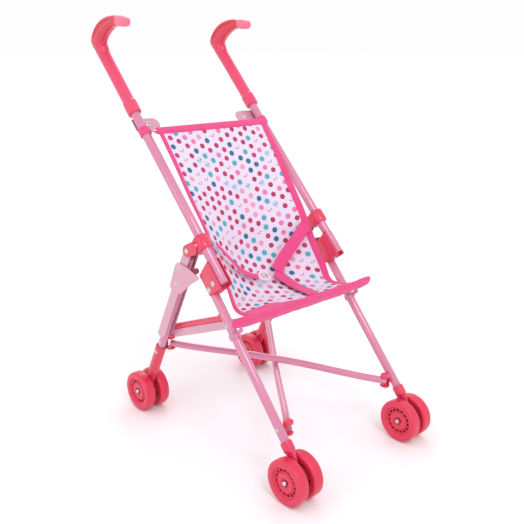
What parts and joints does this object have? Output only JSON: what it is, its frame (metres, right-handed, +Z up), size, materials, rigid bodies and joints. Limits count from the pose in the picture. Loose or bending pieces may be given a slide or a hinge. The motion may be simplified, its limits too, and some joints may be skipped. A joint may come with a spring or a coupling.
{
  "type": "doll stroller",
  "caption": "Folding umbrella-style doll stroller with a cloth sling seat, hooked handle grips, crossed folding braces and paired wheels on each leg.",
  "frame": {"origin": "centre of the overall box, on the floor", "axes": "+X to the right seen from the front, the stroller faces -Y, +Z up"},
  "size_m": [0.2558, 0.4398, 0.5597],
  "materials": {
    "grip": "glossy coral pink",
    "plastic": "moulded coral pink",
    "steel": "glossy pale pink enamel",
    "channel": "pale pink enamel on pressed steel",
    "wheel": "moulded coral pink",
    "axle": "bright steel",
    "print": "printed plain weave, round dots on a pale ground",
    "binding": "hot pink woven binding and webbing",
    "ring": "white moulded ring"
  },
  "bodies": {
    "left_frame": {"handle_tube_L": "steel", "grip_L": "grip", "strap_plate_L": "channel", "block_L": "plastic", "front_leg_L": "steel", "front_fork_L": "plastic", "hem_clip_L": "steel", "top_strap_L": "binding", "seat_sling": "print", "front_hem": "binding", "top_binding": "binding", "side_binding_L": "binding", "harness_strap_L": "binding", "harness_strap_R": "binding", "crotch_strap": "binding", "harness_ring": "ring"},
    "right_frame": {"handle_tube_R": "steel", "grip_R": "grip", "strap_plate_R": "channel", "block_R": "plastic", "front_leg_R": "steel", "front_fork_R": "plastic", "hem_clip_R": "steel", "top_strap_R": "binding", "side_binding_R": "binding"},
    "bracket_L": {"bracket_L": "plastic"},
    "rear_leg_L": {"rear_leg_L": "steel", "rear_channel_L": "channel", "rear_fork_L": "plastic", "gusset_L": "channel"},
    "catch_L": {"catch_L": "plastic"},
    "rail_channel_L": {"rail_channel_L": "channel"},
    "rail_slide_L": {"rail_slide_L": "plastic"},
    "knuckle_front_L": {"knuckle_front_L": "plastic"},
    "knuckle_rear_L": {"knuckle_rear_L": "plastic"},
    "wheels_front_L": {"wheel_front_L_out": "wheel", "wheel_front_L_in": "wheel", "axle_front_L": "axle"},
    "wheels_rear_L": {"wheel_rear_L_out": "wheel", "wheel_rear_L_in": "wheel", "axle_rear_L": "axle"},
    "bracket_R": {"bracket_R": "plastic"},
    "rear_leg_R": {"rear_leg_R": "steel", "rear_channel_R": "channel", "rear_fork_R": "plastic", "gusset_R": "channel"},
    "catch_R": {"catch_R": "plastic"},
    "rail_channel_R": {"rail_channel_R": "channel"},
    "rail_slide_R": {"rail_slide_R": "plastic"},
    "knuckle_front_R": {"knuckle_front_R": "plastic"},
    "knuckle_rear_R": {"knuckle_rear_R": "plastic"},
    "wheels_front_R": {"wheel_front_R_out": "wheel", "wheel_front_R_in": "wheel", "axle_front_R": "axle"},
    "wheels_rear_R": {"wheel_rear_R_out": "wheel", "wheel_rear_R_in": "wheel", "axle_rear_R": "axle"},
    "cross_bar_B": {"cross_bar_B": "steel"},
    "cross_bar_A": {"cross_bar_A": "steel"}
  },
  "joints": [
    {"name": "fold", "type": "slide", "parent": "left_frame", "child": "right_frame", "axis": [-1, 0, 0], "range_m": [0, 0.125], "deforming": ["seat_sling", "front_hem", "top_binding", "side_binding_L", "side_binding_R", "harness_strap_L", "harness_strap_R", "crotch_strap", "harness_ring", "top_strap_L", "top_strap_R"]},
    {"name": "bracket_slide_L", "type": "slide", "parent": "left_frame", "child": "bracket_L", "axis": [0, 0.6858, 0.7278], "range_m": [0, 0.17]},
    {"name": "rear_leg_pivot_L", "type": "hinge", "parent": "bracket_L", "child": "rear_leg_L", "pos_m": [-0.1075, 0.00063, 0.2705], "axis": [1, 0, 0], "range_deg": [-31, 0]},
    {"name": "catch_pivot_L", "type": "hinge", "parent": "rear_leg_L", "child": "catch_L", "pos_m": [-0.1075, -0.00437, 0.242], "axis": [-1, 0, 0], "range_deg": [0, 20]},
    {"name": "rail_pivot_L", "type": "hinge", "parent": "left_frame", "child": "rail_channel_L", "pos_m": [-0.1075, -0.07237, 0.1883], "axis": [1, 0, 0], "range_deg": [0, 38.4]},
    {"name": "rail_reach_L", "type": "slide", "parent": "rail_channel_L", "child": "rail_slide_L", "axis": [0, 0.9264, -0.3765], "range_m": [0, 0.0325]},
    {"name": "front_knuckle_pivot_L", "type": "hinge", "parent": "left_frame", "child": "knuckle_front_L", "pos_m": [-0.0933, -0.16337, 0.079], "axis": [1, 0, 0], "range_deg": [0, 19.7]},
    {"name": "rear_knuckle_pivot_L", "type": "hinge", "parent": "rear_leg_L", "child": "knuckle_rear_L", "pos_m": [-0.0933, 0.07913, 0.112], "axis": [1, 0, 0], "range_deg": [0, 50.4]},
    {"name": "wheel_spin_front_L", "type": "hinge", "parent": "left_frame", "child": "wheels_front_L", "pos_m": [-0.1075, -0.19087, 0.029], "axis": [1, 0, 0], "continuous": true},
    {"name": "wheel_spin_rear_L", "type": "hinge", "parent": "rear_leg_L", "child": "wheels_rear_L", "pos_m": [-0.1075, 0.12323, 0.029], "axis": [1, 0, 0], "continuous": true},
    {"name": "bracket_slide_R", "type": "slide", "parent": "right_frame", "child": "bracket_R", "axis": [0, 0.6858, 0.7278], "range_m": [0, 0.17]},
    {"name": "rear_leg_pivot_R", "type": "hinge", "parent": "bracket_R", "child": "rear_leg_R", "pos_m": [0.1075, 0.00063, 0.2705], "axis": [1, 0, 0], "range_deg": [-31, 0]},
    {"name": "catch_pivot_R", "type": "hinge", "parent": "rear_leg_R", "child": "catch_R", "pos_m": [0.1075, -0.00437, 0.242], "axis": [-1, 0, 0], "range_deg": [0, 20]},
    {"name": "rail_pivot_R", "type": "hinge", "parent": "right_frame", "child": "rail_channel_R", "pos_m": [0.1075, -0.07237, 0.1883], "axis": [1, 0, 0], "range_deg": [0, 38.4]},
    {"name": "rail_reach_R", "type": "slide", "parent": "rail_channel_R", "child": "rail_slide_R", "axis": [0, 0.9264, -0.3765], "range_m": [0, 0.0325]},
    {"name": "front_knuckle_pivot_R", "type": "hinge", "parent": "right_frame", "child": "knuckle_front_R", "pos_m": [0.0933, -0.16337, 0.079], "axis": [1, 0, 0], "range_deg": [0, 19.7]},
    {"name": "rear_knuckle_pivot_R", "type": "hinge", "parent": "rear_leg_R", "child": "knuckle_rear_R", "pos_m": [0.0933, 0.07913, 0.112], "axis": [1, 0, 0], "range_deg": [0, 50.4]},
    {"name": "wheel_spin_front_R", "type": "hinge", "parent": "right_frame", "child": "wheels_front_R", "pos_m": [0.1075, -0.19087, 0.029], "axis": [1, 0, 0], "continuous": true},
    {"name": "wheel_spin_rear_R", "type": "hinge", "parent": "rear_leg_R", "child": "wheels_rear_R", "pos_m": [0.1075, 0.12323, 0.029], "axis": [1, 0, 0], "continuous": true},
    {"name": "cross_bar_pivot_B", "type": "hinge", "parent": "knuckle_front_L", "child": "cross_bar_B", "pos_m": [-0.0933, -0.16337, 0.079], "axis": [0, -0.1348, 0.9909], "range_deg": [0, 25.9]},
    {"name": "cross_bar_pivot_A", "type": "hinge", "parent": "knuckle_front_R", "child": "cross_bar_A", "pos_m": [0.0933, -0.16337, 0.079], "axis": [0, -0.1348, 0.9909], "range_deg": [-25.9, 0]}
  ],
  "couplings": [
    {"joint": "bracket_slide_L", "follows": "fold", "ratio": 1.36},
    {"joint": "rear_leg_pivot_L", "follows": "fold", "rad_per_m": -4.2642},
    {"joint": "rail_pivot_L", "follows": "fold", "rad_per_m": 5.3379},
    {"joint": "rail_reach_L", "follows": "fold", "ratio": 0.25864},
    {"joint": "front_knuckle_pivot_L", "follows": "fold", "rad_per_m": 2.745},
    {"joint": "rear_knuckle_pivot_L", "follows": "fold", "rad_per_m": 7.0092},
    {"joint": "bracket_slide_R", "follows": "fold", "ratio": 1.36},
    {"joint": "rear_leg_pivot_R", "follows": "fold", "rad_per_m": -4.2642},
    {"joint": "rail_pivot_R", "follows": "fold", "rad_per_m": 5.3379},
    {"joint": "rail_reach_R", "follows": "fold", "ratio": 0.25864},
    {"joint": "front_knuckle_pivot_R", "follows": "fold", "rad_per_m": 2.745},
    {"joint": "rear_knuckle_pivot_R", "follows": "fold", "rad_per_m": 7.0092},
    {"joint": "cross_bar_pivot_B", "follows": "fold", "rad_per_m": 3.5996},
    {"joint": "cross_bar_pivot_A", "follows": "fold", "rad_per_m": -3.5996}
  ]
}
